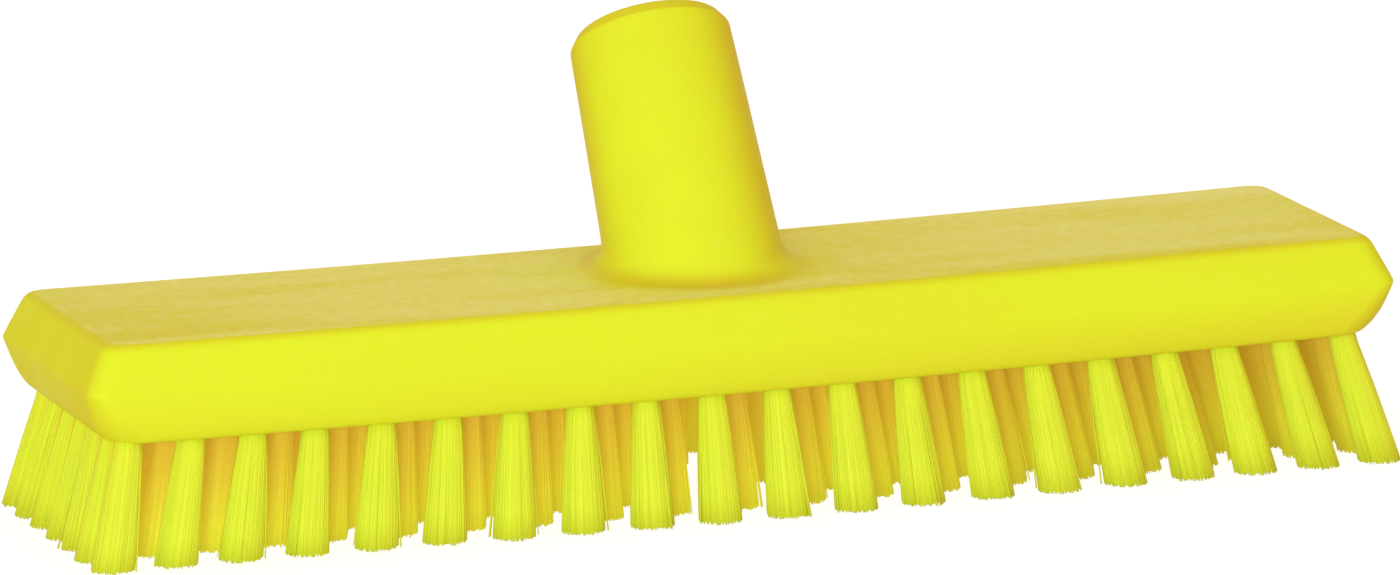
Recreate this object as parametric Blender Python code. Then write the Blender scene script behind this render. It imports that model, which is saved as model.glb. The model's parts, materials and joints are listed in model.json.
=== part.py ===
# Water-fed deck brush: a moulded block with a slanted threaded socket for the handle, a rubber
# gasket at the bottom of the socket, and seven rows of bristle tufts round a water outlet.
# Metres, +Z up. The brush stands on its bristle tips at z = 0. X runs along the block, and the
# socket leans towards +Y. The origin is on the floor, under the middle of the brush.

from math import asin, ceil, cos, hypot, pi, radians, sin, tan

import bmesh
import bpy
from mathutils import Vector

# Block
RIDGE_LENGTH = 0.271  # over the parting ridge, the longest line of the block
RIDGE_WIDTH = 0.070
RIDGE_HEIGHT = 0.0102  # of the ridge above the underside
BLOCK_HEIGHT = 0.0194
TOP_END_INSET = 0.0044  # from the ridge in to the top face, at each end
TOP_SIDE_INSET = 0.0034
UNDERSIDE_END_INSET = 0.0045  # from the ridge in to the underside
UNDERSIDE_SIDE_INSET = 0.0012
PLAN_CORNER_RADIUS = 0.0032
TOP_EDGE_RADIUS = 0.0028
RIDGE_EDGE_RADIUS = 0.0015
UNDERSIDE_EDGE_RADIUS = 0.0015
PLAN_CORNER_STEPS = 5
EDGE_STEPS = 3

# Handle socket, with its length and radii measured along and across its own axis
SOCKET_LEAN = radians(32.8)  # from upright
SOCKET_BEHIND_MIDDLE = 0.0033  # where the axis crosses the top face
SOCKET_LENGTH = 0.0504  # from the top face to the mouth, along the axis
SOCKET_FOOT_RADIUS = 0.0179
SOCKET_MOUTH_RADIUS = 0.0164
SOCKET_RIM_RADIUS = 0.0025  # rounding of the mouth's outer edge
FOOT_FILLET_FRONT = 0.0050
FOOT_FILLET_BACK = 0.0025
FILLET_SINK = 0.0002  # how far the fillet's outer edge runs into the block
SOCKET_ROOT_DEPTH = 0.0040  # how far the socket's solid reaches into the block
SOCKET_SIDES = 40
FILLET_STEPS = 4
RIM_STEPS = 3

# Bore, thread and water passage
BORE_RADIUS = 0.0110
BORE_DEPTH = 0.0360
MOUTH_CHAMFER = 0.0008
BORE_SIDES = 32
THREAD_DEPTH = 0.0010
THREAD_PITCH = 0.0050
THREAD_LENGTH = 0.0270  # of the threaded stretch, from the mouth
THREAD_FOOT_WIDTH = 0.0030
THREAD_CREST_WIDTH = 0.0016
THREAD_STEPS = 24  # to a turn
PASSAGE_RADIUS = 0.0040

# Gasket
GASKET_THICKNESS = 0.0025
GASKET_HOLE_RADIUS = 0.0055
GASKET_EDGE_RADIUS = 0.0006
GASKET_EDGE_STEPS = 2

# Bristles
BRISTLE_LENGTH = 0.0259  # that shows below the underside
ROWS = 7
ROW_PITCH = 0.0095
TUFT_PITCH = 0.0137
END_MARGIN = 0.0050  # from the end column of tufts to the end of the underside
CLOSING_RUN = 0.0360  # the least stretch before each end where the tufts stand closer
OUTLET_CLEAR_RADIUS = 0.0095  # no tuft stands this near the middle of the water outlet
TUFT_ROOT_RADIUS = 0.00245
TUFT_TIP_RADIUS = 0.0044
TUFT_SLIT = 0.0004  # between the strands of a tuft, at its root
STRANDS = 3  # to a tuft
END_LEAN = radians(13)  # outwards, of the tufts in the end columns
SIDE_LEAN = radians(11)  # outwards, of the tufts in the outer rows
STRIP_LIP = 0.0003  # of the backing strip round a tuft's root
STRIP_DEPTH = 0.0030
STRIP_END_STEPS = 4
TUFTS_TO_STRIP = 7  # at most

CLEARANCE = 0.0003  # between pieces that touch
OVERRUN = 0.0020  # of a cutter past the face it opens

BLOCK_YELLOW = (0.80, 0.85, 0.035, 1)
BRISTLE_YELLOW = (0.75, 0.80, 0.05, 1)
GASKET_BLACK = (0.02, 0.02, 0.02, 1)
BLOCK_ROUGHNESS = 0.45
BRISTLE_ROUGHNESS = 0.4
GASKET_ROUGHNESS = 0.7
SHARP_ANGLE = radians(35)  # edges steeper than this are shaded sharp


# Sizes that follow from the ones above

HALF_RIDGE = Vector((RIDGE_LENGTH / 2, RIDGE_WIDTH / 2))
HALF_TOP = HALF_RIDGE - Vector((TOP_END_INSET, TOP_SIDE_INSET))
HALF_UNDERSIDE = HALF_RIDGE - Vector((UNDERSIDE_END_INSET, UNDERSIDE_SIDE_INSET))
END_COLUMN = HALF_UNDERSIDE.x - END_MARGIN
OUTER_ROW = ROW_PITCH * (ROWS - 1) / 2
AXIS = Vector((0, sin(SOCKET_LEAN), cos(SOCKET_LEAN)))
ACROSS = Vector((0, cos(SOCKET_LEAN), -sin(SOCKET_LEAN)))
AXIS_START = Vector((0, SOCKET_BEHIND_MIDDLE, BLOCK_HEIGHT))
OUTLET = AXIS_START - AXIS * BLOCK_HEIGHT / cos(SOCKET_LEAN)
SOCKET_TAPER = (SOCKET_FOOT_RADIUS - SOCKET_MOUTH_RADIUS) / SOCKET_LENGTH
STRIP_HALF_WIDTH = TUFT_ROOT_RADIUS + STRIP_LIP


def clear_scene():
    for obj in list(bpy.data.objects):
        bpy.data.objects.remove(obj)


def plastic(name, colour, roughness):
    made = bpy.data.materials.new(name)
    made.use_nodes = True
    shader = made.node_tree.nodes["Principled BSDF"]
    shader.inputs["Base Color"].default_value = colour
    shader.inputs["Roughness"].default_value = roughness
    return made


def add_object(name, bm, parent, material=None):
    """An object of this mesh under the parent. One without a material is a cutter or another helper."""
    bmesh.ops.recalc_face_normals(bm, faces=bm.faces)
    mesh = bpy.data.meshes.new(name)
    bm.to_mesh(mesh)
    bm.free()
    mesh.shade_smooth()
    mesh.set_sharp_from_angle(angle=SHARP_ANGLE)
    obj = bpy.data.objects.new(name, mesh)
    bpy.context.scene.collection.objects.link(obj)
    obj.parent = parent
    if material:
        mesh.materials.append(material)
    else:
        obj.hide_render = True
        obj.display_type = "WIRE"
    return obj


def join_or_cut(obj, other, operation):
    step = obj.modifiers.new(other.name, "BOOLEAN")
    step.operation = operation
    step.solver = "EXACT"
    step.object = other


def loft(rings, bm=None, ends_meet=False):
    """A closed solid through rings of points, capped at both ends or run round to its start."""
    if bm is None:
        bm = bmesh.new()
    made = [[bm.verts.new(point) for point in ring] for ring in rings]
    for lower, upper in zip(made, made[1:] + made[:1] if ends_meet else made[1:]):
        for i, corner in enumerate(lower):
            before = i - 1
            bm.faces.new((lower[before], corner, upper[i], upper[before]))
    if not ends_meet:
        bm.faces.new(reversed(made[0]))
        bm.faces.new(made[-1])
    return bm


def rounded_corner(before, corner, after, radius):
    """Points of the arc that rounds a corner of an outline."""
    to_before = (before - corner).normalized()
    to_after = (after - corner).normalized()
    half_angle = to_before.angle(to_after) / 2
    reach = radius / tan(half_angle)
    centre = corner + (to_before + to_after).normalized() * radius / sin(half_angle)
    start = corner + to_before * reach - centre
    end = corner + to_after * reach - centre
    return [centre + radius * start.slerp(end, i / EDGE_STEPS) for i in range(EDGE_STEPS + 1)]


def wall_outline(half_underside, half_ridge, half_top):
    """Outline of the block's wall from the underside to the top, as distance from the middle and height."""
    corners = (
        Vector((0, 0)),
        Vector((half_underside, 0)),
        Vector((half_ridge, RIDGE_HEIGHT)),
        Vector((half_top, BLOCK_HEIGHT)),
        Vector((0, BLOCK_HEIGHT)),
    )
    radii = (UNDERSIDE_EDGE_RADIUS, RIDGE_EDGE_RADIUS, TOP_EDGE_RADIUS)
    outline = []
    for before, corner, after, radius in zip(corners, corners[1:], corners[2:], radii):
        outline += rounded_corner(before, corner, after, radius)
    return outline


def block_ring(end, side):
    """One level of the block, through a point of the end wall's outline and one of the side wall's."""
    ring = []
    for quarter in range(4):
        for i in range(PLAN_CORNER_STEPS + 1):
            angle = pi / 2 * (quarter + i / PLAN_CORNER_STEPS)
            out_x, out_y = cos(angle), sin(angle)
            right = 1 if quarter in (0, 3) else -1
            back = 1 if quarter in (0, 1) else -1
            x = right * (end.x - PLAN_CORNER_RADIUS) + PLAN_CORNER_RADIUS * out_x
            y = back * (side.x - PLAN_CORNER_RADIUS) + PLAN_CORNER_RADIUS * out_y
            z = end.y * out_x**2 + side.y * out_y**2
            ring.append((x, y, z))
    return ring


def block_solid():
    ends = wall_outline(HALF_UNDERSIDE.x, HALF_RIDGE.x, HALF_TOP.x)
    sides = wall_outline(HALF_UNDERSIDE.y, HALF_RIDGE.y, HALF_TOP.y)
    return loft([block_ring(end, side) for end, side in zip(ends, sides)])


def on_socket(angle, radius, along):
    """A point at this angle and distance from the socket's axis, and this far up from the top face."""
    return AXIS_START + AXIS * along + (Vector((cos(angle), 0, 0)) + ACROSS * sin(angle)) * radius


def turned(sides, outline):
    """Rings round the socket's axis through an outline of (radius, distance along the axis)."""
    angles = [2 * pi * i / sides for i in range(sides)]
    return [[on_socket(angle, radius, along) for angle in angles] for radius, along in outline]


def socket_radius(along):
    return SOCKET_FOOT_RADIUS - SOCKET_TAPER * along


def foot_fillet(angle):
    """Points of the fillet at this angle, from inside the block up to the socket's wall."""
    drop = sin(angle) * sin(SOCKET_LEAN)
    along = SOCKET_FOOT_RADIUS * drop / (cos(SOCKET_LEAN) + SOCKET_TAPER * drop)
    foot = on_socket(angle, socket_radius(along), along)
    back_share = (1 + sin(angle)) / 2
    reach = FOOT_FILLET_FRONT + (FOOT_FILLET_BACK - FOOT_FILLET_FRONT) * back_share
    wall = on_socket(angle, socket_radius(along + reach), along + reach)
    outwards = Vector((cos(angle), sin(angle) * cos(SOCKET_LEAN), 0)).normalized()
    plate = foot + outwards * reach - Vector((0, 0, FILLET_SINK))
    points = [plate - Vector((0, 0, SOCKET_ROOT_DEPTH))]
    for i in range(FILLET_STEPS + 1):
        share = i / FILLET_STEPS
        points.append(plate.lerp(foot, share).lerp(foot.lerp(wall, share), share))
    return points


def socket_solid():
    angles = [2 * pi * i / SOCKET_SIDES for i in range(SOCKET_SIDES)]
    rings = list(zip(*(foot_fillet(angle) for angle in angles)))
    straight_end = SOCKET_LENGTH - SOCKET_RIM_RADIUS
    arc_middle = socket_radius(straight_end) - SOCKET_RIM_RADIUS
    rim = []
    for i in range(RIM_STEPS + 1):
        angle = pi / 2 * i / RIM_STEPS
        radius = arc_middle + SOCKET_RIM_RADIUS * cos(angle)
        rim.append((radius, straight_end + SOCKET_RIM_RADIUS * sin(angle)))
    return loft(rings + turned(SOCKET_SIDES, rim))


def bore_cutter():
    """The bore with its chamfered mouth, and the water passage from its bottom to the underside."""
    lowest = (OUTLET - AXIS_START).dot(AXIS) - PASSAGE_RADIUS - OVERRUN
    bottom = SOCKET_LENGTH - BORE_DEPTH
    wide = BORE_RADIUS + MOUTH_CHAMFER
    outline = (
        (PASSAGE_RADIUS, lowest),
        (PASSAGE_RADIUS, bottom),
        (BORE_RADIUS, bottom),
        (BORE_RADIUS, SOCKET_LENGTH - MOUTH_CHAMFER),
        (wide, SOCKET_LENGTH),
        (wide, SOCKET_LENGTH + OVERRUN),
    )
    return loft(turned(BORE_SIDES, outline))


def thread_cutter():
    """A right-handed helical groove that starts outside the mouth and runs down the bore."""
    start = SOCKET_LENGTH + THREAD_PITCH / 2
    turns = (THREAD_LENGTH + THREAD_PITCH / 2) / THREAD_PITCH
    steps = ceil(turns * THREAD_STEPS)
    inner = BORE_RADIUS - THREAD_DEPTH
    outer = BORE_RADIUS + THREAD_DEPTH
    section = (
        (inner, -THREAD_FOOT_WIDTH / 2),
        (outer, -THREAD_CREST_WIDTH / 2),
        (outer, THREAD_CREST_WIDTH / 2),
        (inner, THREAD_FOOT_WIDTH / 2),
    )
    rings = []
    for i in range(steps + 1):
        angle = -2 * pi * i / THREAD_STEPS
        along = start - THREAD_PITCH * i / THREAD_STEPS
        rings.append([on_socket(angle, radius, along + offset) for radius, offset in section])
    return loft(rings)


def gasket_solid():
    """A flat ring round the socket's axis, with rounded edges, just above the bottom of the bore."""
    outer = BORE_RADIUS - CLEARANCE - GASKET_EDGE_RADIUS
    inner = GASKET_HOLE_RADIUS + GASKET_EDGE_RADIUS
    low = SOCKET_LENGTH - BORE_DEPTH + CLEARANCE + GASKET_EDGE_RADIUS
    high = low + GASKET_THICKNESS - 2 * GASKET_EDGE_RADIUS
    corners = ((outer, low), (outer, high), (inner, high), (inner, low))
    outline = []
    for quarter, (radius, along) in enumerate(corners):
        for i in range(GASKET_EDGE_STEPS + 1):
            angle = pi / 2 * (quarter - 1 + i / GASKET_EDGE_STEPS)
            round_x, round_y = GASKET_EDGE_RADIUS * cos(angle), GASKET_EDGE_RADIUS * sin(angle)
            outline.append((radius + round_x, along + round_y))
    return loft(turned(BORE_SIDES, outline), ends_meet=True)


def row_places(row):
    """Where the tufts of a row stand, from left to right, with None where the outlet leaves one out."""
    start = 0 if row % 2 else TUFT_PITCH / 2
    half = [start]
    while half[-1] + TUFT_PITCH + CLOSING_RUN <= END_COLUMN:
        half.append(half[-1] + TUFT_PITCH)
    last = half[-1]
    closer = ceil((END_COLUMN - last) / TUFT_PITCH)
    half += [last + (END_COLUMN - last) * i / closer for i in range(1, closer + 1)]
    y = ROW_PITCH * row - OUTER_ROW
    whole = [-x for x in reversed(half) if x > 0] + half
    near = [hypot(x - OUTLET.x, y - OUTLET.y) < OUTLET_CLEAR_RADIUS for x in whole]
    return [None if left_out else (x, y) for x, left_out in zip(whole, near)]


def strips_of(row):
    """The row's tufts in groups, each of which shares a strip of backing."""
    runs = [[]]
    for place in row_places(row):
        if place:
            runs[-1].append(place)
        elif runs[-1]:
            runs.append([])
    strips = []
    for run in runs:
        parts = ceil(len(run) / TUFTS_TO_STRIP)
        ends = [round(len(run) * i / parts) for i in range(parts + 1)]
        strips += [run[first:last] for first, last in zip(ends, ends[1:])]
    return strips


def strip_outline(places, half_width, z):
    """A strip with round ends about its first and last tufts, seen from above."""
    ring = []
    for (x, y), turn in ((places[-1], -pi / 2), (places[0], pi / 2)):
        for i in range(STRIP_END_STEPS + 1):
            angle = turn + pi * i / STRIP_END_STEPS
            ring.append(Vector((x + half_width * cos(angle), y + half_width * sin(angle), z)))
    return ring


def strand_sections(x, y, flip):
    """Root and tip outlines of a tuft's strands: slices of a round tuft, with a slit between them."""
    tip_x = x + BRISTLE_LENGTH * tan(END_LEAN * x / END_COLUMN)
    tip_y = y + BRISTLE_LENGTH * tan(SIDE_LEAN * y / OUTER_ROW)
    half_slice = pi / STRANDS
    half_slit = TUFT_SLIT / 2
    edge = half_slice - asin(half_slit / TUFT_ROOT_RADIUS)
    spread = TUFT_TIP_RADIUS / TUFT_ROOT_RADIUS
    for strand in range(STRANDS):
        middle = 2 * half_slice * strand + flip
        corners = [
            (middle, half_slit / sin(half_slice)),
            (middle - edge, TUFT_ROOT_RADIUS),
            (middle, TUFT_ROOT_RADIUS),
            (middle + edge, TUFT_ROOT_RADIUS),
        ]
        root = [Vector((x + r * cos(a), y + r * sin(a), 0)) for a, r in corners]
        tip = [
            Vector((tip_x + spread * r * cos(a), tip_y + spread * r * sin(a), -BRISTLE_LENGTH))
            for a, r in corners
        ]
        yield root, tip


def strip_solid(places, flip):
    """A strip of backing with its tufts' strands grown out of its lower face in one mesh."""
    bm = bmesh.new()
    lower = [bm.verts.new(point) for point in strip_outline(places, STRIP_HALF_WIDTH, 0)]
    upper = [bm.verts.new(point) for point in strip_outline(places, STRIP_HALF_WIDTH, STRIP_DEPTH)]
    bm.faces.new(upper)
    for i, corner in enumerate(lower):
        bm.faces.new((lower[i - 1], corner, upper[i], upper[i - 1]))
    rims = [bm.edges.get((lower[i - 1], corner)) for i, corner in enumerate(lower)]
    for x, y in places:
        for root, tip in strand_sections(x, y, flip):
            roots = [bm.verts.new(point) for point in root]
            tips = [bm.verts.new(point) for point in tip]
            bm.faces.new(reversed(tips))
            for i, corner in enumerate(roots):
                bm.faces.new((tips[i - 1], tips[i], corner, roots[i - 1]))
                rims.append(bm.edges.get((roots[i - 1], corner)))
    bmesh.ops.triangle_fill(bm, use_beauty=True, edges=rims, normal=(0, 0, -1))
    return bm


def add_bristles(parent, material):
    """A node for each strip, and one cutter with the slots that all of them sit in."""
    slots = bmesh.new()
    for row in range(ROWS):
        for strip, places in enumerate(strips_of(row)):
            name = f"bristle_row_{row + 1}{'abcdefgh'[strip]}"
            bristles = add_object(name, strip_solid(places, pi * row), parent, material)
            bristles.location.z = BRISTLE_LENGTH
            width = STRIP_HALF_WIDTH + CLEARANCE
            bottom = strip_outline(places, width, -OVERRUN)
            top = strip_outline(places, width, STRIP_DEPTH + CLEARANCE)
            loft([bottom, top], slots)
    cutter = add_object("strip_slots", slots, parent)
    cutter.location.z = BRISTLE_LENGTH
    return cutter


def add_block(parent, material, slots):
    block = add_object("block", block_solid(), parent, material)
    block.location.z = BRISTLE_LENGTH
    join_or_cut(block, slots, "DIFFERENCE")
    steps = (
        ("socket_shape", socket_solid, "UNION"),
        ("bore_and_passage", bore_cutter, "DIFFERENCE"),
        ("thread", thread_cutter, "DIFFERENCE"),
    )
    for name, shape, operation in steps:
        helper = add_object(name, shape(), parent)
        helper.location.z = BRISTLE_LENGTH
        join_or_cut(block, helper, operation)


def centre_over_floor(parent):
    """Moves the whole brush back or forth until the origin is under the middle of its box."""
    bpy.context.view_layer.update()
    graph = bpy.context.evaluated_depsgraph_get()
    depths = []
    for obj in parent.children:
        if not obj.hide_render:
            points = obj.evaluated_get(graph).data.vertices
            depths += [(obj.matrix_world @ point.co).y for point in points]
    parent.location.y = -(min(depths) + max(depths)) / 2


def main():
    clear_scene()
    brush = bpy.data.objects.new("deck_brush", None)
    bpy.context.scene.collection.objects.link(brush)
    slots = add_bristles(brush, plastic("bristle_plastic", BRISTLE_YELLOW, BRISTLE_ROUGHNESS))
    add_block(brush, plastic("block_plastic", BLOCK_YELLOW, BLOCK_ROUGHNESS), slots)
    rubber = plastic("gasket_rubber", GASKET_BLACK, GASKET_ROUGHNESS)
    gasket = add_object("socket_gasket", gasket_solid(), brush, rubber)
    gasket.location.z = BRISTLE_LENGTH
    centre_over_floor(brush)
    print(f"The block's middle is at y = {brush.location.y:.6f}")


main()
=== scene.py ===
import json
import math
import random

import bmesh
import bpy
from mathutils import Matrix, Vector


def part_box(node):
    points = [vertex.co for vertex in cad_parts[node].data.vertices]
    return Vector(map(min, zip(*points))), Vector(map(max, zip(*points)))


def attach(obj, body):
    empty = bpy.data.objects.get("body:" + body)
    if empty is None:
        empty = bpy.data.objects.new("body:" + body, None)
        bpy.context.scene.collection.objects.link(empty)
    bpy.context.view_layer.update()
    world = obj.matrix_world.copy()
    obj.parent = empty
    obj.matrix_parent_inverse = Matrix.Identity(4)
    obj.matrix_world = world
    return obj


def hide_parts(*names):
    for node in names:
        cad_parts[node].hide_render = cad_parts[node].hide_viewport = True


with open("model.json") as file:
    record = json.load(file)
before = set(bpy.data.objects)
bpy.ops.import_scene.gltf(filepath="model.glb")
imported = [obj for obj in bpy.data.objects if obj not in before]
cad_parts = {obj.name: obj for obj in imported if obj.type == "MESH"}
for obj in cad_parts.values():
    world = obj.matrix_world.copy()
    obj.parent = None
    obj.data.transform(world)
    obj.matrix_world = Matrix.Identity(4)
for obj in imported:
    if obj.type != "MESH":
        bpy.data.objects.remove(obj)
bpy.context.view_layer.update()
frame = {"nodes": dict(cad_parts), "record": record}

# Places in the frame: the block's low corner, its underside and the socket's mouth and axis
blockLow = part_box("block")[0]
underside = blockLow.z
mouth = next(mount for mount in frame["record"]["mounts"] if mount["name"] == "socket_mouth")
socketAxis = Vector(mouth["axis"]).normalized()
mouthCentre = Vector((0, mouth["pos_m"][1], mouth["pos_m"][2]))
mm = 0.001


def deselect():
    if bpy.context.mode != "OBJECT":
        bpy.ops.object.mode_set(mode="OBJECT")
    bpy.ops.object.select_all(action="DESELECT")


def editing(mode="VERT"):
    bpy.ops.object.mode_set(mode="EDIT")
    bpy.ops.mesh.select_mode(type=mode)


def pick(piece, kind, test):
    # selects the vertices, edges or faces that pass the test, and nothing else
    bpy.ops.mesh.select_all(action="DESELECT")
    bpy.ops.mesh.select_mode(type={"verts": "VERT", "edges": "EDGE", "faces": "FACE"}[kind])
    mesh = bmesh.from_edit_mesh(piece.data)
    for element in getattr(mesh, kind):
        if test(element):
            element.select_set(True)
    mesh.select_flush_mode()
    bmesh.update_edit_mesh(piece.data)


def move(piece, place, chosen=True):
    # moves the selected vertices, or all of them, each to where the function says
    mesh = bmesh.from_edit_mesh(piece.data)
    for vertex in mesh.verts:
        if vertex.select or not chosen:
            vertex.co = place(vertex.co)
    bmesh.update_edit_mesh(piece.data)


def clamped(value):
    return min(1, max(0, value))


def copyOf(piece):
    copy = piece.copy()
    copy.data = piece.data.copy()
    bpy.context.scene.collection.objects.link(copy)
    return copy


def setAttribute(mesh, name, values):
    attribute = mesh.attributes.new(name, "FLOAT", "POINT")
    attribute.data.foreach_set("value", values)


def joined(pieces):
    deselect()
    for piece in pieces:
        piece.select_set(True)
    bpy.context.view_layer.objects.active = pieces[0]
    bpy.ops.object.join()
    return bpy.context.object


def finished(piece, name, material):
    deselect()
    piece.select_set(True)
    bpy.context.view_layer.objects.active = piece
    bpy.ops.object.transform_apply(location=True, rotation=True, scale=True)
    piece.name = name
    piece.data.materials.clear()
    piece.data.materials.append(material)
    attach(piece, "root")
    return piece


# Shader maths: an expression of Shade values adds its Math nodes
class Shade:
    def __init__(self, tree, socket=None):
        self.tree, self.socket = tree, socket

    def node(self, kind, inputs=None, output=0, **settings):
        made = self.tree.nodes.new(kind)
        for name, value in settings.items():
            setattr(made, name, value)
        for name, value in (inputs or {}).items():
            if isinstance(value, Shade):
                self.tree.links.new(value.socket, made.inputs[name])
            else:
                made.inputs[name].default_value = value
        return Shade(self.tree, made.outputs[output])

    def other(self, output):
        # another output of the node that this value comes from
        return Shade(self.tree, self.socket.node.outputs[output])

    def math(self, operation, first, second=0.0, clamp=False):
        inputs = {0: first, 1: second}
        return self.node("ShaderNodeMath", inputs, operation=operation, use_clamp=clamp)

    def mixed(self, first, second):
        # from the first colour to the second, as this value goes from 0 to 1
        inputs = {"Factor": self, 6: first, 7: second}
        return self.node("ShaderNodeMix", inputs, output=2, data_type="RGBA")

    def between(self, low, high):
        # from 0 to 1, as this value goes from low to high
        inputs = {"Value": self, "From Min": low, "From Max": high}
        return self.node("ShaderNodeMapRange", inputs)

    def __add__(self, other):
        return self.math("ADD", self, other)

    def __sub__(self, other):
        return self.math("SUBTRACT", self, other)

    def __rsub__(self, other):
        return self.math("SUBTRACT", other, self)

    def __mul__(self, other):
        return self.math("MULTIPLY", self, other)

    __radd__ = __add__
    __rmul__ = __mul__


def newMaterial(name):
    material = bpy.data.materials.new(name)
    material.use_nodes = True
    return material, Shade(material.node_tree)


def feed(material, socket, value):
    # into the material's shader, as a link or as the socket's own constant
    shader = material.node_tree.nodes["Principled BSDF"]
    if isinstance(value, Shade):
        material.node_tree.links.new(value.socket, shader.inputs[socket])
    else:
        shader.inputs[socket].default_value = value


def feedRelief(material, height, relief):
    strength, distance = relief
    inputs = {"Height": height, "Strength": strength, "Distance": distance}
    feed(material, "Normal", height.node("ShaderNodeBump", inputs))


def stored(shade, name):
    # what the mesh holds under this name for each of its points
    return shade.node("ShaderNodeAttribute", output="Fac", attribute_name=name)


def stretched(place, scale):
    return place.node("ShaderNodeMapping", {"Vector": place, "Scale": scale})


def noise(place, scale, detail):
    return place.node("ShaderNodeTexNoise", {"Vector": place, "Scale": scale, "Detail": detail})


# Materials, with noises in counts to the metre and relief as its strength and its height in metres
mouldedPlastic = {
    "colour": (0.78, 0.875, 0.031, 1),
    "warm": (0.785, 0.815, 0.034, 1),  # where the moulding is a little deeper in colour
    "paintedSheen": (0.90, 0.98, 0.28, 1),  # painted sheen on the top face
    "edge": (0.775, 0.74, 0.028, 1),  # painted shade along the top face's rounded edge
    "crease": (0.75, 0.60, 0.032, 1),  # painted shade on the socket's rim, round its foot and on its sides
    "low": (0.775, 0.75, 0.034, 1),  # painted shade towards the underside
    "scuff": (0.80, 0.86, 0.070, 1),
    "cloud": 38,
    "cloudStretch": (0.3, 1.7, 1),
    "cloudRange": (0.36, 0.66),
    "scuffs": 342,
    "scuffRange": (0.56, 0.74),
    "band": 48,  # pale bands of the painted sheen
    "bandStretch": (0.2, 1, 1),
    "bandRange": (0.42, 0.58),
    "mottle": 420,  # fine mottling of the painted sheen
    "mottleRange": (0.38, 0.62),
    "grain": 2600,
    # heights over the top face between which each comes in or goes out
    "sheenStart": (-0.16 * mm, -0.03 * mm),
    "sheenEnd": (0.1 * mm, 0.7 * mm),
    "edgeShadeStart": (-1.4 * mm, -0.6 * mm),
    "edgeShadeEnd": (-0.12 * mm, -0.02 * mm),
    "lowShadeEnd": (-15 * mm, -9 * mm),
    "rightEnd": (-20 * mm, 125 * mm),  # where what is stronger at the right end starts and is full
    "farSide": (4 * mm, 22 * mm),  # the same from the block's middle line backwards
    # how much of each goes on
    "sheen": 0.08,
    "sheenBands": 0.55,
    "sheenMottles": 0.36,
    "sheenBehind": 0.7,  # along the far side of the right end
    "sheenBefore": 0.15,  # what the right end has less of it in front
    "scuffShare": 0.3,
    "edgeShadeShare": 0.5,
    "socketShadeShare": 0.75,
    "lowShadeShare": 0.3,
    "lowShadeAtRight": 0.7,
    "roughness": (0.36, 0.50),
    "scuffRoughness": 0.06,
    "specular": 0.015,
    "grainHeight": 0.6,
    "scuffHeight": 0.4,
    "relief": (0.35, 0.00012),
}


def makeMouldedPlastic():
    looks = mouldedPlastic
    material, shade = newMaterial("moulded_plastic")
    place = shade.node("ShaderNodeTexCoord", output="Object")
    across = shade.node("ShaderNodeSeparateXYZ", {"Vector": place}, output="Y")
    right = across.other("X").between(*looks["rightEnd"])
    behind = (across - middleY).between(*looks["farSide"])
    level = stored(shade, "level")  # over the top face
    clouds = noise(stretched(place, looks["cloudStretch"]), looks["cloud"], 3)
    cloudy = clouds.between(*looks["cloudRange"])
    scuffs = noise(place, looks["scuffs"], 4)
    worn = scuffs.between(*looks["scuffRange"])
    grain = noise(place, looks["grain"], 2)
    # the painted sheen lies on the top face alone, in pale bands along the block
    onTop = level.between(*looks["sheenStart"]) * (1 - level.between(*looks["sheenEnd"]))
    bands = noise(stretched(place, looks["bandStretch"]), looks["band"], 2)
    mottles = noise(place, looks["mottle"], 3)
    patchy = bands.between(*looks["bandRange"]) * looks["sheenBands"]
    patchy = patchy + mottles.between(*looks["mottleRange"]) * looks["sheenMottles"]
    atRight = (behind * looks["sheenBehind"] - looks["sheenBefore"]) * right
    sheen = onTop * (1 - stored(shade, "bare")) * (looks["sheen"] + patchy + atRight)
    # painted shade along the rounding of the top face's edge
    edge = level.between(*looks["edgeShadeStart"]) * (1 - level.between(*looks["edgeShadeEnd"]))
    # painted shade towards the underside, stronger at the right end
    low = 1 - level.between(*looks["lowShadeEnd"])
    low = low * (looks["lowShadeShare"] + right * looks["lowShadeAtRight"])
    # painted shade round the socket's rim, foot and sides
    crease = stored(shade, "crease")
    colour = cloudy.mixed(looks["colour"], looks["warm"])
    colour = (worn * looks["scuffShare"]).mixed(colour, looks["scuff"])
    colour = sheen.mixed(colour, looks["paintedSheen"])
    colour = low.mixed(colour, looks["low"])
    colour = (edge * looks["edgeShadeShare"]).mixed(colour, looks["edge"])
    colour = (crease * looks["socketShadeShare"]).mixed(colour, looks["crease"])
    feed(material, "Base Color", colour)
    smooth, rough = looks["roughness"]
    roughness = smooth + cloudy * (rough - smooth) + worn * looks["scuffRoughness"]
    feed(material, "Roughness", roughness)
    feed(material, "Specular IOR Level", looks["specular"])
    height = grain * looks["grainHeight"] + scuffs * looks["scuffHeight"]
    feedRelief(material, height, looks["relief"])
    return material


filamentPlastic = {
    "tip": (0.77, 0.845, 0.050, 1),
    "root": (0.85, 0.885, 0.045, 1),
    "rootRange": (0.0, 0.5),  # of the length, over which the root's colour turns to the tip's
    "dark": (0.79, 0.81, 0.042, 1),
    "darkRange": (0.6, 1.0),  # of the filaments' tints
    "darkShare": 0.5,
    # painted shade for the tufts that others stand round, and a painted glow on them where light
    # would come through
    "shadedRoot": (0.57, 0.335, 0.026, 1),
    "shadedTip": (0.62, 0.58, 0.030, 1),
    "glowRoot": (0.285, 0.17, 0.015, 1),
    "glowTip": (0.305, 0.285, 0.016, 1),
    "outerGlowTip": (0.05, 0.03, 0.0015, 1),  # a painted glow at the tips of the outer tufts
    "noGlow": (0, 0, 0, 1),
    "rightEnd": (0, 130 * mm),  # over which the painted glow weakens
    "glowLossAtRight": 0.28,
    "roughness": (0.42, 0.58),
    "specular": 0.12,
    "crimps": 900,
    "relief": (0.2, 0.00008),
}


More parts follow.
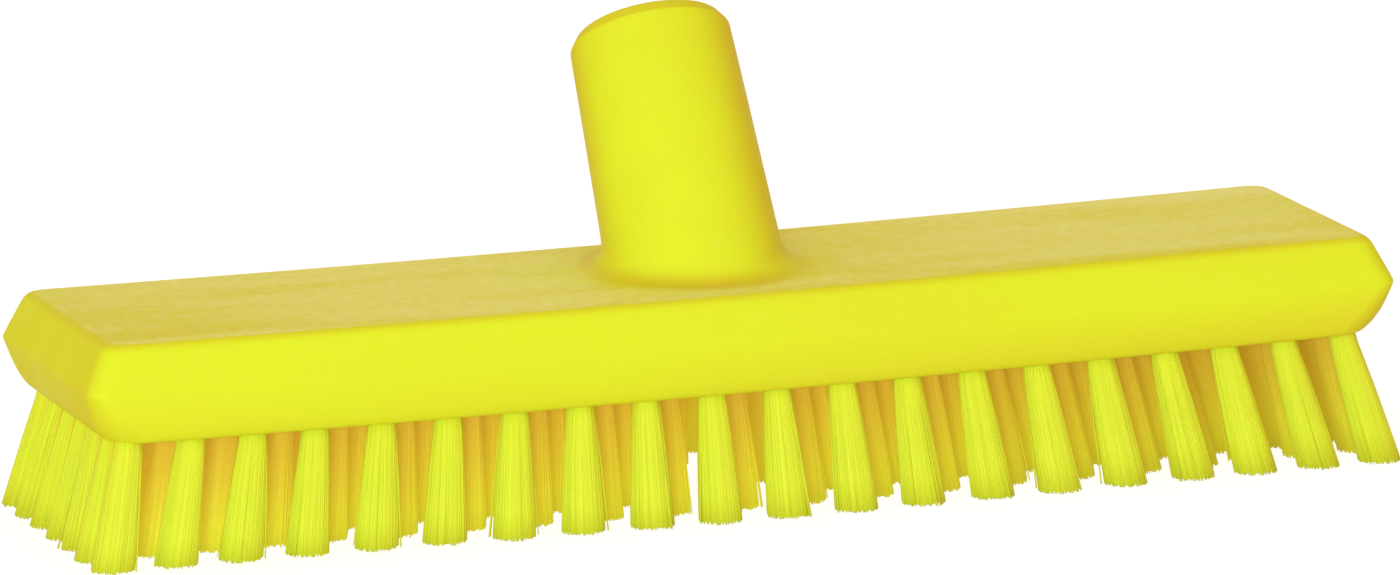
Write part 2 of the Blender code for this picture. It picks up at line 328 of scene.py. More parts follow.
def makeFilamentPlastic():
    looks = filamentPlastic
    material, shade = newMaterial("filament_plastic")
    tint, along, inner = [stored(shade, name) for name in ("tint", "along", "inner")]
    place = shade.node("ShaderNodeTexCoord", output="Object")
    right = shade.node("ShaderNodeSeparateXYZ", {"Vector": place}, output="X")
    colour = along.between(*looks["rootRange"]).mixed(looks["root"], looks["tip"])
    dark = tint.between(*looks["darkRange"]) * looks["darkShare"]
    colour = dark.mixed(colour, looks["dark"])
    # the tufts that others stand round take a painted shade, orange at the root
    colour = inner.mixed(colour, along.mixed(looks["shadedRoot"], looks["shadedTip"]))
    feed(material, "Base Color", colour)
    # a painted glow for light coming through the filaments, weaker towards the right end
    lost = right.between(*looks["rightEnd"]) * looks["glowLossAtRight"]
    innerGlow = lost.mixed(along.mixed(looks["glowRoot"], looks["glowTip"]), looks["noGlow"])
    outerGlow = along.mixed(looks["noGlow"], looks["outerGlowTip"])
    feed(material, "Emission Color", inner.mixed(outerGlow, innerGlow))
    feed(material, "Emission Strength", 1)
    smooth, rough = looks["roughness"]
    feed(material, "Roughness", smooth + tint * (rough - smooth))
    feed(material, "Specular IOR Level", looks["specular"])
    feedRelief(material, noise(place, looks["crimps"], 2), looks["relief"])
    return material


gasketRubber = {
    "colour": (0.018, 0.018, 0.020, 1),
    "dusty": (0.055, 0.052, 0.048, 1),
    "dust": 700,
    "dustRange": (0.5, 0.75),
    "dustShare": 0.6,
    "roughness": 0.55,
    "dustRoughness": 0.3,
    "relief": (0.3, 0.0001),
}


def makeGasketRubber():
    looks = gasketRubber
    material, shade = newMaterial("gasket_rubber_black")
    place = shade.node("ShaderNodeTexCoord", output="Object")
    dust = noise(place, looks["dust"], 5).between(*looks["dustRange"])
    colour = (dust * looks["dustShare"]).mixed(looks["colour"], looks["dusty"])
    feed(material, "Base Color", colour)
    feed(material, "Roughness", looks["roughness"] + dust * looks["dustRoughness"])
    feedRelief(material, dust, looks["relief"])
    return material


# Block with its socket: a subdivision cage that starts as the top plate
block = {
    "ridgeWidth": 69.94 * mm,
    "halfLength": 135 * mm,
    "sag": 0.8 * mm,  # the moulding is warped, with its middle lower than its ends
    "sagRun": 30 * mm,  # above the top face, up to where the socket hasn't sunk
    # lines between the plate's columns of faces, in mm from the middle
    "columns": (7.3, 14.7, 22, 30, 46, 63, 80, 97, 113, 123.6, 129.1),
    "cellsAcross": 8,
    "cornerSteps": 4,
    "holeColumn": 3,  # the line at which the socket's hole ends, and its share of the width
    "holeShare": 0.75,
    # height above the underside, half length, half width and corner radius of each level, in mm
    "levels": (
        (19.4, 129.10, 29.45, 3.2),
        (19.37, 129.80, 30.15, 3.2),
        (19.15, 130.60, 30.95, 3.3),
        (18.6, 131.30, 31.65, 3.5),
        (17.75, 131.90, 32.20, 3.7),
        (16.2, 132.63, 32.80, 3.9),
        (11.9, 134.70, 34.40, 4.0),
        (10.8, 135.15, 34.70, 3.9),
        (10.2, 135.42, 34.80, 3.8),
        (9.6, 135.30, 34.86, 4.0),
        (8.2, 134.95, 34.88, 4.8),
        (5.0, 134.00, 34.72, 6.4),
        (3.0, 133.20, 34.35, 7.6),
        (1.6, 132.30, 33.85, 8.0),
        (0.75, 131.40, 33.35, 7.8),
        (0.25, 130.70, 32.90, 7.2),
        (0, 130.00, 32.40, 6.6),
    ),
}
middleY = blockLow.y + block["ridgeWidth"] / 2

socket = {
    "length": 50.4 * mm,  # along the axis, from the top face
    "footRadius": 17.9 * mm,
    "mouthRadius": 16.4 * mm,
    "filletFront": 3.8 * mm,
    "filletBack": 4.4 * mm,
    "filletSides": 5.8 * mm,
    "filletShares": (0, 0.12, 0.4, 0.65, 0.88, 1),  # of the fillet's curve, a ring at each
    "waist": 28 * mm,  # a ring of the wall, along the axis
    "sides": 24,
    # distance below the mouth and radius of each ring, over the rim and down into the bore, in mm
    "rings": (
        (3.6, 16.5),
        (2.8, 16.47),
        (2.55, 16.40),
        (2.3, 16.22),
        (1.5, 15.68),
        (0.7, 15.15),
        (0.15, 14.7),
        (0, 14.1),
        (0, 13.2),
        (0.1, 12.75),
        (0.8, 12.05),
        (1.4, 12.0),
        (14, 12.0),
        (26.6, 12.0),
        (27.1, 11.9),
        (27.3, 11.2),
        (27.8, 11.0),
        (35.6, 11.0),
        (36.0, 10.6),
        (36.0, 8.0),
        (36.0, 4.9),
        (36.1, 4.3),
        (36.8, 4.0),
        (48, 4.0),
    ),
    "passageRadius": 4 * mm,
}
blockTop = underside + block["levels"][0][0] * mm
acrossX = Vector((1, 0, 0))
acrossY = socketAxis.cross(acrossX).normalized()  # towards the back and down
axisStart = mouthCentre - socketAxis * socket["length"]


def onSocket(angle, radius, along):
    out = acrossX * math.cos(angle) + acrossY * math.sin(angle)
    return axisStart + socketAxis * along + out * radius


def socketRadius(along):
    foot = socket["footRadius"]
    return foot + (socket["mouthRadius"] - foot) * along / socket["length"]


def footPoint(angle, share):
    # a point of the fillet between the top face, at share 0, and the socket's wall, at share 1
    lean = math.sin(angle) * socketAxis.y
    taper = (socket["footRadius"] - socket["mouthRadius"]) / socket["length"]
    along = socket["footRadius"] * lean / (socketAxis.z + taper * lean)
    foot = onSocket(angle, socketRadius(along), along)
    back = (1 + math.sin(angle)) / 2
    reach = socket["filletFront"] + (socket["filletBack"] - socket["filletFront"]) * back
    reach += (socket["filletSides"] - reach) * math.cos(angle) ** 2
    wall = onSocket(angle, socketRadius(along + reach), along + reach)
    outwards = Vector((math.cos(angle), math.sin(angle) * socketAxis.z, 0)).normalized()
    plate = foot + outwards * reach
    return plate.lerp(foot, share).lerp(foot.lerp(wall, share), share)


def undersidePoint(angle):
    # where the water passage's wall comes out of the underside
    start = onSocket(angle, socket["passageRadius"], 0)
    return start - socketAxis * (start.z - underside) / socketAxis.z


def socketRings():
    angles = [2 * math.pi * i / socket["sides"] for i in range(socket["sides"])]
    rings = [[footPoint(angle, share) for angle in angles] for share in socket["filletShares"]]
    waist = socket["waist"]
    rings.append([onSocket(angle, socketRadius(waist), waist) for angle in angles])
    for depth, radius in socket["rings"]:
        along = socket["length"] - depth * mm
        rings.append([onSocket(angle, radius * mm, along) for angle in angles])
    rings.append([undersidePoint(angle) for angle in angles])
    return rings


def roundCorners(piece, endX, sideY, oldRadius, newRadius):
    # sets the selected vertices of each corner on an arc of the new radius
    def onArc(co):
        x, y = abs(co.x), abs(co.y - middleY)
        # the arc with a little beyond its ends
        if x < endX - oldRadius * 1.05 or y < sideY - oldRadius * 1.1:
            return co
        angle = math.atan2(max(0, y - sideY + oldRadius), max(0, x - endX + oldRadius))
        x = endX - newRadius * (1 - math.cos(angle))
        y = sideY - newRadius * (1 - math.sin(angle))
        return Vector((math.copysign(x, co.x), middleY + math.copysign(y, co.y - middleY), co.z))

    move(piece, onArc)


near = 0.1 * mm  # how far off a point may lie and still count as lying on a line


def growSocket(piece, holeX, holeY):
    # cuts a hole six faces square, sets its edge on the foot's outline and draws the socket from it
    def inHole(co, margin=0):
        return abs(co.x) < holeX + margin and abs(co.y - middleY) < holeY + margin

    pick(piece, "faces", lambda f: inHole(f.calc_center_median()))
    bpy.ops.mesh.delete(type="FACE")
    pick(piece, "edges", lambda e: e.is_boundary and all(inHole(v.co, near) for v in e.verts))
    rings = socketRings()

    def ontoFoot(co):
        # an eighth of a turn to each half side of the square
        u, v = co.x / holeX, (co.y - middleY) / holeY
        long = max(abs(u), abs(v))
        turn = {
            abs(u) == long and u > 0: v / long,
            abs(v) == long and v > 0: 2 - u / long,
            abs(u) == long and u < 0: 4 - v / long,
            abs(v) == long and v < 0: 6 + u / long,
        }[True]
        return rings[0][round(turn * socket["sides"] / 8) % socket["sides"]]

    move(piece, ontoFoot)
    for last, ring in zip(rings, rings[1:]):
        bpy.ops.mesh.extrude_edges_indiv()

        def onRing(co):
            nearest = min(range(len(last)), key=lambda i: (last[i] - co).length_squared)
            return ring[nearest]

        move(piece, onRing)


def growWall(piece):
    # from the plate's edge down to the underside
    def onPlateEdge(edge):
        return edge.is_boundary and all(v.co.z > blockTop - near for v in edge.verts)

    pick(piece, "edges", onPlateEdge)
    for above, level in zip(block["levels"], block["levels"][1:]):
        bpy.ops.mesh.extrude_edges_indiv()
        bpy.ops.transform.resize(
            value=(level[1] / above[1], level[2] / above[2], 1), center_override=(0, middleY, 0)
        )
        bpy.ops.transform.translate(value=(0, 0, (level[0] - above[0]) * mm))
        roundCorners(piece, level[1] * mm, level[2] * mm, above[3] * mm, level[3] * mm)


def makeBlockCage():
    deselect()
    bpy.ops.mesh.primitive_grid_add(
        x_subdivisions=2 * len(block["columns"]),
        y_subdivisions=block["cellsAcross"],
        size=2,
        location=(0, 0, 0),
    )
    piece = bpy.context.object
    editing()
    columns = (0,) + block["columns"]
    top = block["levels"][0]

    def onPlate(co):
        column = round(co.x * len(block["columns"]))
        x = math.copysign(columns[abs(column)], column) * mm
        return Vector((x, middleY + co.y * top[2] * mm, blockTop))

    move(piece, onPlate, chosen=False)
    endX, sideY = top[1] * mm, top[2] * mm

    def atCorner(co):
        return abs(co.x) > endX - near and abs(co.y - middleY) > sideY - near

    pick(piece, "verts", lambda v: atCorner(v.co))
    bpy.ops.mesh.bevel(offset=top[3] * mm, segments=block["cornerSteps"], affect="VERTICES")
    growSocket(piece, columns[block["holeColumn"]] * mm, sideY * block["holeShare"])
    growWall(piece)
    bpy.ops.object.mode_set(mode="OBJECT")
    return piece


def subdivided(piece, levels):
    modifier = piece.modifiers.new("smooth", "SUBSURF")
    modifier.levels = modifier.render_levels = levels
    modifier.boundary_smooth = "PRESERVE_CORNERS"
    bpy.context.view_layer.objects.active = piece
    bpy.ops.object.modifier_apply(modifier=modifier.name)


# Tufts: where they stand in the underside, and their shape
tufts = {
    "rows": 7,
    "rowPitch": 9.5 * mm,
    "pitch": 13.53 * mm,
    "endColumn": 125.6 * mm,
    "aside": -0.67 * mm,  # of them all, from the block's middle
    "closingRun": 36 * mm,  # before each end, where they stand closer
    "outletClear": 9.5 * mm,
    "rootRadius": 2.45 * mm,
    "tipRadius": 4.3 * mm,
    "flare": 0.65,  # below 1 the tuft spreads fast at first, and slower further down
    "holeRadius": 2.65 * mm,
    "holeDepth": 2.6 * mm,
    "holeSides": 14,
    "length": underside,
    "bends": (0.1, 0.4, 0.7),  # of the length, where a filament may bend
    "endLean": math.radians(13),
    "sideLean": math.radians(11),
    "unevenLean": 0.012,
    "kinds": 5,
    "seed": 7,
    "coreShare": 0.98,  # of the tuft's radius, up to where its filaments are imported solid
    "coreLength": 0.982,
    "coreSides": 22,
    "wear": 1.4 * mm,  # what the tufts of the left end have lost
    "wearRun": 90 * mm,  # from the middle, where none is lost, to where it is all lost
}
# How the filaments of a tuft stand and differ, in shares of its radius unless noted
filaments = {
    "radius": 0.16 * mm,
    "sides": 4,
    "layers": ((76, 0.965), (24, 0.86), (16, 0.62), (8, 0.3)),  # how many, and how far out
    "turn": 0.3,  # of the step to the next one
    "depth": 0.012,  # in and out of its layer
    "spread": (-0.015, 0.02),
    "strays": 0.02,  # of them all, which stand out more
    "straySpread": 0.16,
    "sway": 0.3,  # in mm, sideways at the tip
    "shortBy": 0.60 * mm,  # at most, off the tuft's length
}
# How much painted shade and glow a point of an outer tuft gets: at the tuft's axis, and the loss to
# its outer side
shelter = {"endAxis": 0.6, "endLoss": 1.2, "rowAxis": 0.1, "rowLoss": 0.9}
outletY = undersidePoint(math.pi / 2).lerp(undersidePoint(-math.pi / 2), 0.5).y - middleY


def tuftPlaces():
    # root places from the block's middle, row by row from the front
    places = []
    for row in range(tufts["rows"]):
        half = [0 if row % 2 else tufts["pitch"] / 2]
        while half[-1] + tufts["pitch"] + tufts["closingRun"] <= tufts["endColumn"]:
            half.append(half[-1] + tufts["pitch"])
        left = tufts["endColumn"] - half[-1]
        closer = math.ceil(left / tufts["pitch"])
        half += [half[-1] + left * i / closer for i in range(1, closer + 1)]
        y = tufts["rowPitch"] * (row - (tufts["rows"] - 1) / 2)
        for x in [-x for x in half if x > 0] + half:
            if math.hypot(x, y - outletY) > tufts["outletClear"]:
                places.append((x + tufts["aside"], y))
    return sorted(places, key=lambda place: (place[1], place[0]))


def addUnderside(piece):
    # the flat underside with a drilled hole for each tuft, round the passage's own hole
    deselect()
    piece.select_set(True)
    bpy.context.view_layer.objects.active = piece
    editing("EDGE")
    for x, y in tuftPlaces():
        place = (x, middleY + y, underside)
        bpy.ops.mesh.primitive_circle_add(
            vertices=tufts["holeSides"], radius=tufts["holeRadius"], location=place
        )
    pick(piece, "edges", lambda e: e.is_boundary or e.is_wire)
    bpy.ops.mesh.fill(use_beauty=True)
    # each hole's wall goes up from its edge, and its bottom is closed
    pick(piece, "edges", lambda e: e.is_boundary)
    bpy.ops.mesh.extrude_edges_indiv()
    bpy.ops.transform.translate(value=(0, 0, tufts["holeDepth"]))
    bpy.ops.mesh.fill_holes(sides=tufts["holeSides"])
    bpy.ops.mesh.select_all(action="SELECT")
    bpy.ops.mesh.normals_make_consistent(inside=False)
    bpy.ops.object.mode_set(mode="OBJECT")


thread = {
    "pitch": 5 * mm,
    "depths": (2.2 * mm, 27 * mm),  # where it starts and ends below the mouth
    "stepsToTurn": 24,
    "runOut": 7,  # steps over which it grows out of the wall
    "start": 0.05,  # of its height, where it grows from
    "rootRadius": 12.2 * mm,
    "crestRadius": 11 * mm,
    "rootWidth": 3.6 * mm,
    "crestWidth": 2.5 * mm,
}


def threadSection(step, steps):
    height = min(1, step / thread["runOut"], (steps - step) / thread["runOut"])
    share = thread["start"] + (1 - thread["start"]) * height
    crest = thread["rootRadius"] + (thread["crestRadius"] - thread["rootRadius"]) * share
    angle = -2 * math.pi * step / thread["stepsToTurn"]
    start = socket["length"] - thread["depths"][0]
    along = start - thread["pitch"] * step / thread["stepsToTurn"]
    corners = (
        (thread["rootRadius"], -thread["rootWidth"] / 2),
        (crest, -thread["crestWidth"] / 2),
        (crest, thread["crestWidth"] / 2),
        (thread["rootRadius"], thread["rootWidth"] / 2),
    )
    return [onSocket(angle, radius, along + offset) for radius, offset in corners]


def makeThread():
    # the ridge of the handle's thread, drawn down the bore section by section
    first, last = thread["depths"]
    steps = round((last - first) / thread["pitch"] * thread["stepsToTurn"])
    deselect()
    bpy.ops.mesh.primitive_circle_add(vertices=4, radius=mm, location=(0, 0, 0))
    piece = bpy.context.object
    editing("EDGE")
    bpy.ops.mesh.select_all(action="SELECT")
    bpy.ops.mesh.edge_face_add()
    before = [vertex.co.copy() for vertex in bmesh.from_edit_mesh(piece.data).verts]
    for step in range(steps + 1):
        section = threadSection(step, steps)
        if step:
            bpy.ops.mesh.extrude_region_move(TRANSFORM_OT_translate={"value": (0, 0, 0)})

        def onSection(co):
            nearest = min(range(4), key=lambda i: (before[i] - co).length_squared)
            return section[nearest]

        move(piece, onSection)
        before = section
    bpy.ops.mesh.select_all(action="SELECT")
    bpy.ops.mesh.normals_make_consistent(inside=False)
    bpy.ops.object.mode_set(mode="OBJECT")
    return piece


# Where shade is painted round the socket, from 0 to 1 in strength
socketShading = {
    "inside": 12.6 * mm,  # the bore, where no shade is painted
    "rim": 0.45,
    "rimDepth": 2.8 * mm,
    "rimFade": 0.6 * mm,
    "footHeight": 2.2 * mm,
    "footRing": 2.5 * mm,  # round the foot's radius, before the painted shade fades out
    "footFade": 3.5 * mm,
    "footRight": 0.5,  # what the foot's right side lacks, where the light falls into the hollow
    "side": 0.8,
    "sideTurn": 24,  # in degrees, like the next three: where the socket's pale front is
    "sideStart": 38,
    "sideRise": 8,  # by how much later it starts at the mouth
    "sideFade": 30,
    "wallHeight": 3 * mm,  # over the top face, where the sides' painted shade is full
    "wallRadius": 15 * mm,  # the sides' painted shade stays outside this, clear of the mouth
}
# Where the painted sheen is missing from the top face, next to the foot and most of all in front of
# it
sheenlessGround = {
    "ring": 5 * mm,
    "fade": 8 * mm,
    "least": 0.3,
    "frontEnd": 6 * mm,
    "frontFade": 8 * mm,
}


def socketShadeOf(co):
    across = co - axisStart
    along = across.dot(socketAxis)
    radius = (across - socketAxis * along).length
    depth = socket["length"] - along
    if radius < socketShading["inside"] or co.z < blockTop - mm:
        return 0.0
    rim = socketShading["rim"] * clamped((socketShading["rimDepth"] - depth) / socketShading["rimFade"])
    height = max(0, co.z - blockTop)
    beside = max(0, radius - socket["footRadius"] - socketShading["footRing"])
    foot = max(0, 1 - height / socketShading["footHeight"]) * max(0, 1 - beside / socketShading["footFade"])
    foot *= 1 - socketShading["footRight"] * clamped(co.x / socket["footRadius"])
    # painted shade on the socket's two sides, and more so lower down
    turned = math.degrees(math.atan2(across.dot(acrossX), -across.dot(acrossY)))
    wall = clamped(height / socketShading["wallHeight"]) * clamped((radius - socketShading["wallRadius"]) / mm)
    beyond = abs(turned + socketShading["sideTurn"]) - socketShading["sideStart"]
    beyond -= socketShading["sideRise"] * along / socket["length"]
    side = socketShading["side"] * clamped(beyond / socketShading["sideFade"]) * wall
    return max(rim, foot, side)


def sheenlessOf(co):
    aside = math.hypot(co.x, co.y - axisStart.y)
    beside = max(0, aside - socket["footRadius"] - sheenlessGround["ring"])
    before = (middleY + sheenlessGround["frontEnd"] - co.y) / sheenlessGround["frontFade"]
    return min(1, max(sheenlessGround["least"], before)) * max(0, 1 - beside / sheenlessGround["fade"])


def bowed(piece):
    # lowers the block's middle and the tufts' roots, but neither their tips nor the socket's mouth
    for vertex in piece.data.vertices:
        below = clamped(vertex.co.z / underside)
        above = 1 - clamped((vertex.co.z - blockTop) / block["sagRun"])
        share = 1 - min(1, (vertex.co.x / block["halfLength"]) ** 2)
        vertex.co.z -= block["sag"] * share * below * above


def makeMoulding():
    cage = makeBlockCage()
    subdivided(cage, 2)
    addUnderside(cage)
    moulding = joined([cage, makeThread()])
    vertices = moulding.data.vertices
    setAttribute(moulding.data, "level", [vertex.co.z - blockTop for vertex in vertices])
    setAttribute(moulding.data, "crease", [socketShadeOf(vertex.co) for vertex in vertices])
    setAttribute(moulding.data, "bare", [sheenlessOf(vertex.co) for vertex in vertices])
    bowed(moulding)
    bpy.ops.object.shade_smooth_by_angle(angle=math.radians(40))
    finished(moulding, "block_moulding", blockMaterial)
    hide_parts("block")
    print("block moulding made:", len(moulding.data.polygons), "faces")


blockMaterial = makeMouldedPlastic()
bristleMaterial = makeFilamentPlastic()
rubberMaterial = makeGasketRubber()
print("materials made")

makeMoulding()


# One filament is modelled, copied into a few kinds of tuft, and each tuft is a copy of one of them
def makeStrand(sides, radius, depths):
    # a closed strand from just inside the tuft's hole down to the last depth
    deselect()
    bpy.ops.mesh.primitive_circle_add(vertices=sides, radius=radius, location=(0, 0, 0))
    strand = bpy.context.object
    editing("EDGE")
    bpy.ops.mesh.select_all(action="SELECT")
    bpy.ops.mesh.edge_face_add()
    last = tufts["holeDepth"] / 2
    bpy.ops.transform.translate(value=(0, 0, last))
    for depth in depths:
        step = (0, 0, -depth * tufts["length"] - last)
        bpy.ops.mesh.extrude_region_move(TRANSFORM_OT_translate={"value": step})
        last = -depth * tufts["length"]
    bpy.ops.mesh.select_all(action="SELECT")
    bpy.ops.mesh.normals_make_consistent(inside=False)
    bpy.ops.object.mode_set(mode="OBJECT")
    return strand


def bundleRadius(down):
    return tufts["rootRadius"] + (tufts["tipRadius"] - tufts["rootRadius"]) * down ** tufts["flare"]


def addCore(core):
    middle = copyOf(core)
    along = []
    for vertex in middle.data.vertices:
        down = max(0, -vertex.co.z / tufts["length"])
        along.append(down)
        out = Vector((vertex.co.x, vertex.co.y, 0)).normalized()
        flat = out * bundleRadius(down) * tufts["coreShare"]
        vertex.co = Vector((flat.x, flat.y, vertex.co.z))
    setAttribute(middle.data, "along", along)
    setAttribute(middle.data, "tint", [0.5] * len(along))
    return middle


def addFilament(filament, angle, layer, chance):
    # one filament of the bundle, with its own bow, length and tint
    copy = copyOf(filament)
    out = Vector((math.cos(angle), math.sin(angle), 0))
    share = layer + chance.uniform(-filaments["depth"], filaments["depth"])
    spread = chance.uniform(*filaments["spread"])
    spread += filaments["straySpread"] if chance.random() < filaments["strays"] else 0
    sway = filaments["sway"]
    aside = Vector((-out.y, out.x, 0)) * chance.uniform(-sway, sway) * mm
    short = chance.uniform(0, 1) ** 2 * filaments["shortBy"]
    spin = Matrix.Rotation(chance.uniform(0, math.pi), 3, "Z")
    along = []
    for vertex in copy.data.vertices:
        down = max(0, -vertex.co.z / tufts["length"])
        along.append(down)
        centre = out * bundleRadius(down) * (share + spread * down) + aside * down
        turned = spin @ Vector((vertex.co.x, vertex.co.y, 0))
        vertex.co = Vector((turned.x, turned.y, vertex.co.z + short * down)) + centre
    setAttribute(copy.data, "along", along)
    setAttribute(copy.data, "tint", [chance.random()] * len(along))
    return copy


def makeTuftKind(filament, core, seed):
    # filaments packed round a solid core, in a round bundle that flares
    chance = random.Random(seed)
    pieces = [addCore(core)]
    for count, layer in filaments["layers"]:
        for i in range(count):
            step = i + chance.uniform(-filaments["turn"], filaments["turn"])
            pieces.append(addFilament(filament, 2 * math.pi * step / count, layer, chance))
    return joined(pieces)


def plantTuft(kind, x, y, chance):
    tuft = copyOf(kind)
    length, tip = tufts["length"], tufts["tipRadius"]
    outerRow = tufts["rowPitch"] * (tufts["rows"] - 1) / 2
    uneven = tufts["unevenLean"]
    leanX = math.tan(tufts["endLean"] * x / tufts["endColumn"]) + chance.uniform(-uneven, uneven)
    leanY = math.tan(tufts["sideLean"] * y / outerRow) + chance.uniform(-uneven, uneven)
    tuft.data.transform(Matrix.Rotation(chance.uniform(0, 2 * math.pi), 4, "Z"))
    worn = tufts["wear"] / length * clamped(-x / tufts["wearRun"])
    # in the outer tufts only the side away from the brush's edge gets the painted shade and glow
    endTuft = abs(x - tufts["aside"]) > tufts["endColumn"] - mm
    rowTuft = abs(y) > outerRow - mm
    lossX = shelter["endLoss"] * math.copysign(1, x)
    lossY = shelter["rowLoss"] * math.copysign(1, y)
    inner = []
    for vertex in tuft.data.vertices:
        awayX = shelter["endAxis"] - lossX * vertex.co.x / tip if endTuft else 1
        awayY = shelter["rowAxis"] - lossY * vertex.co.y / tip if rowTuft else 1
        inner.append(clamped(min(awayX, awayY)))
        vertex.co.z *= 1 - worn * clamped(-vertex.co.z / length)
        down = max(0, -vertex.co.z)
        vertex.co.x += x + leanX * down
        vertex.co.y += y + middleY + leanY * down
        vertex.co.z += underside
    setAttribute(tuft.data, "inner", inner)
    return tuft


def makeTufts():
    bends = tufts["bends"]
    filament = makeStrand(filaments["sides"], filaments["radius"], bends + (1,))
    core = makeStrand(tufts["coreSides"], tufts["rootRadius"], bends + (tufts["coreLength"],))
    kinds = [makeTuftKind(filament, core, seed) for seed in range(tufts["kinds"])]
    chance = random.Random(tufts["seed"])
    strips = [name for name in frame["nodes"] if name.startswith("bristle_row")]
    groups = {name: [] for name in strips}
    for x, y in tuftPlaces():
        row = 1 + round(y / tufts["rowPitch"] + (tufts["rows"] - 1) / 2)
        for name in strips:
            low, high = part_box(name)
            inStrip = low.x < x < high.x and low.y < y + middleY < high.y
            if inStrip and name.startswith(f"bristle_row_{row}"):
                groups[name].append(plantTuft(chance.choice(kinds), x, y, chance))
    for name, members in sorted(groups.items()):
        piece = joined(members)
        bowed(piece)
        for polygon in piece.data.polygons:
            polygon.use_smooth = True
        finished(piece, name.replace("bristle", "tufts"), bristleMaterial)
        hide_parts(name)
    for helper in [filament, core] + kinds:
        bpy.data.objects.remove(helper)
    print("tufts made:", sum(len(members) for members in groups.values()))


makeTufts()

# Gasket: a rubber ring at the bottom of the bore, with a bead pressed into its upper face
gasket = {
    "sides": 48,
    "depth": 35.7 * mm,  # of its bottom below the mouth
    # radius, and height over its bottom, of each ring of its outline, in mm
    "rings": (
        (10.1, 0), (10.5, 0.1), (10.7, 0.5), (10.7, 1.9), (10.55, 2.3), (10.2, 2.42), (9.4, 2.42),
        (9.0, 2.3), (8.6, 2.3), (8.25, 2.5), (7.85, 2.5), (7.5, 2.3), (6.6, 2.3), (6.2, 2.42),
        (5.9, 2.42), (5.6, 2.2), (5.5, 1.8), (5.5, 0.6), (5.7, 0.15), (6.1, 0),
    ),
}


def makeGasket():
    angles = [2 * math.pi * i / gasket["sides"] for i in range(gasket["sides"])]
    bottom = socket["length"] - gasket["depth"]
    rings = []
    for radius, height in gasket["rings"]:
        rings.append([onSocket(angle, radius * mm, bottom + height * mm) for angle in angles])
    deselect()
    bpy.ops.mesh.primitive_circle_add(vertices=gasket["sides"], radius=mm, location=(0, 0, 0))
    piece = bpy.context.object
    editing("EDGE")
    bpy.ops.mesh.select_all(action="SELECT")
    before = [vertex.co.copy() for vertex in bmesh.from_edit_mesh(piece.data).verts]
    for i, ring in enumerate(rings):
        if i:
            bpy.ops.mesh.extrude_edges_indiv()

        def onRing(co):
            nearest = min(range(len(before)), key=lambda j: (before[j] - co).length_squared)
            return ring[nearest]

        move(piece, onRing)
        before = ring
    pick(piece, "edges", lambda e: e.is_boundary)
    bpy.ops.mesh.bridge_edge_loops()
    bpy.ops.mesh.select_all(action="SELECT")
    bpy.ops.mesh.normals_make_consistent(inside=False)
    bpy.ops.object.mode_set(mode="OBJECT")
    bpy.ops.object.shade_smooth_by_angle(angle=math.radians(50))
    finished(piece, "gasket_ring", rubberMaterial)
    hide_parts("socket_gasket")


makeGasket()
print("gasket made")


# Camera, as the photograph was taken
view = {
    "azimuth": math.radians(17.75),
    "elevation": math.radians(11.24),
    "roll": math.radians(-1.42),
    "distance": 2.488,
    "aside": -0.00047,
    "up": 0.01403,
    "lens": 321.2,
    "sensor": 36,
    "farEnd": 20,
}


def addCamera():
    az, el, roll = view["azimuth"], view["elevation"], view["roll"]
    back = Vector((-math.sin(az) * math.cos(el), -math.cos(az) * math.cos(el), math.sin(el)))
    level = Vector((math.cos(az), -math.sin(az), 0))
    upright = back.cross(level)
    right = level * math.cos(roll) + upright * math.sin(roll)
    up = upright * math.cos(roll) - level * math.sin(roll)
    target = Vector((0, middleY, underside)) + right * view["aside"] + up * view["up"]
    camera = bpy.data.objects.new("camera", bpy.data.cameras.new("camera"))
    camera.data.sensor_width = view["sensor"]
    camera.data.lens = view["lens"]
    camera.data.clip_end = view["farEnd"]
    turned = Matrix((right, up, back)).transposed().to_4x4()
    camera.matrix_world = Matrix.Translation(target + back * view["distance"]) @ turned
    bpy.context.scene.collection.objects.link(camera)
    bpy.context.scene.camera = camera


# Studio: warm fill from all round, a soft key lamp left of the camera and a weak one behind
studio = {
    "white": (1, 1, 1, 1),
    "fill": (1.0, 0.70, 0.50, 1),
    "fillStrength": 0.74,
    "floorSize": 12,
    "floor": (0.90, 0.74, 0.58, 1),  # in the light that it gives back to the brush
    "floorSeen": (0.25, 0.25, 0.25, 1),  # where the camera sees it, with a glow on top
    "floorGlow": 0.9,
}
lamps = {
    "key": {
        "colour": (0.58, 1.0, 0.95),
        "power": 27,
        "azimuth": 26,
        "elevation": 9,
        "width": 0.6,
        "height": 0.4,
    },
    "back": {
        "colour": (1.0, 0.95, 0.85),
        "power": 7,
        "azimuth": 196,
        "elevation": 9,
        "width": 1.2,
        "height": 0.6,
    },
}
lampDistance = 2.2


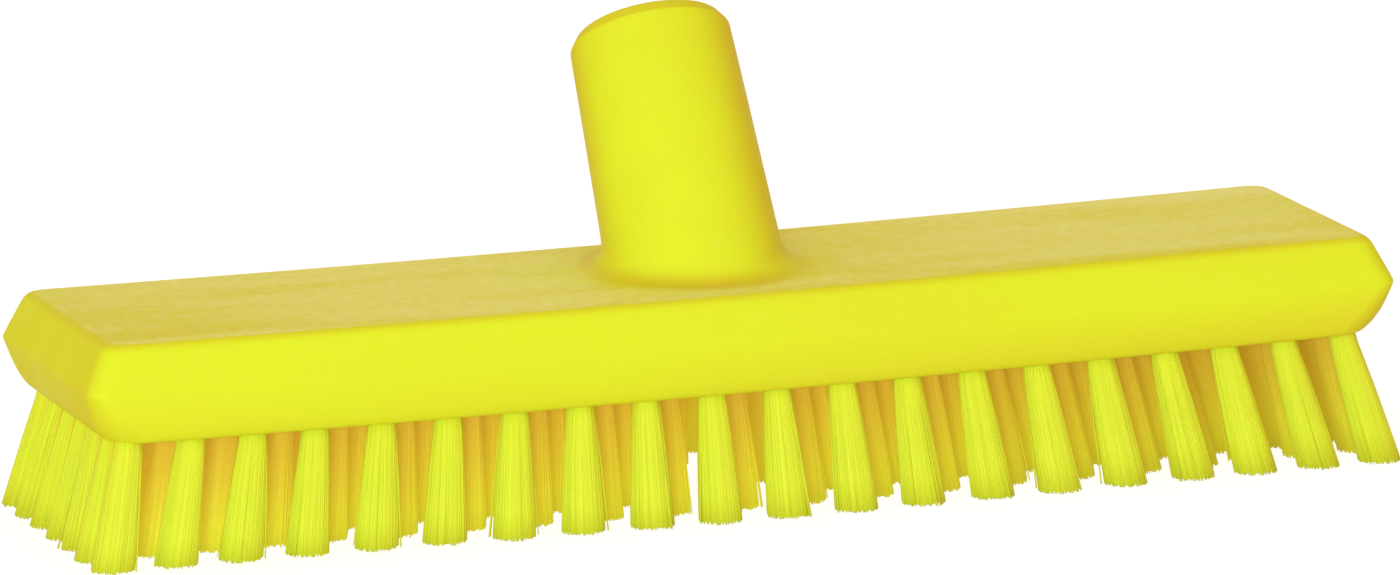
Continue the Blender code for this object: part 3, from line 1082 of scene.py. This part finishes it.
def addLamp(name, looks):
    az, el = math.radians(looks["azimuth"]), math.radians(looks["elevation"])
    towards = Vector((-math.sin(az) * math.cos(el), -math.cos(az) * math.cos(el), math.sin(el)))
    light = bpy.data.lights.new(name, "AREA")
    light.shape = "RECTANGLE"
    light.size, light.size_y = looks["width"], looks["height"]
    light.energy = looks["power"]
    light.color = looks["colour"]
    lamp = bpy.data.objects.new(name, light)
    lamp.visible_glossy = name == "key"
    lamp.location = towards * lampDistance
    lamp.rotation_euler = towards.to_track_quat("Z", "Y").to_euler()
    bpy.context.scene.collection.objects.link(lamp)


def seenDirectly(shade):
    # 1 for the camera's rays, in mirror images and through clear pieces, and 0 for other light
    seen = shade.node("ShaderNodeLightPath", output="Is Camera Ray")
    glossy, clear = seen.other("Is Glossy Ray"), seen.other("Is Transmission Ray")
    return shade.math("ADD", seen + glossy, clear, clamp=True)


def addWorld():
    world = bpy.data.worlds.new("studio")
    bpy.context.scene.world = world
    world.use_nodes = True
    seen = seenDirectly(Shade(world.node_tree))
    colour = seen.mixed(studio["fill"], studio["white"])
    strength = seen * (1 - studio["fillStrength"]) + studio["fillStrength"]
    background = world.node_tree.nodes["Background"]
    world.node_tree.links.new(colour.socket, background.inputs["Color"])
    world.node_tree.links.new(strength.socket, background.inputs["Strength"])


def addFloor():
    deselect()
    bpy.ops.mesh.primitive_plane_add(size=studio["floorSize"], location=(0, 0, 0))
    floor = bpy.context.object
    floor.name = "floor"
    pale, shade = newMaterial("pale_floor")
    tree = pale.node_tree
    tree.nodes.remove(tree.nodes["Principled BSDF"])
    matt = shade.node("ShaderNodeBsdfDiffuse", {"Color": studio["floor"]})
    faint = shade.node("ShaderNodeBsdfDiffuse", {"Color": studio["floorSeen"]})
    glow = {"Color": studio["white"], "Strength": studio["floorGlow"]}
    glow = shade.node("ShaderNodeEmission", glow)
    lit = shade.node("ShaderNodeAddShader", {0: faint, 1: glow})
    both = shade.node("ShaderNodeMixShader", {0: seenDirectly(shade), 1: matt, 2: lit})
    tree.links.new(both.socket, tree.nodes["Material Output"].inputs["Surface"])
    floor.data.materials.append(pale)


addCamera()
for name, looks in lamps.items():
    addLamp(name, looks)
addWorld()
addFloor()
bpy.context.scene.view_settings.view_transform = "Standard"
print("camera, lamp and floor made")
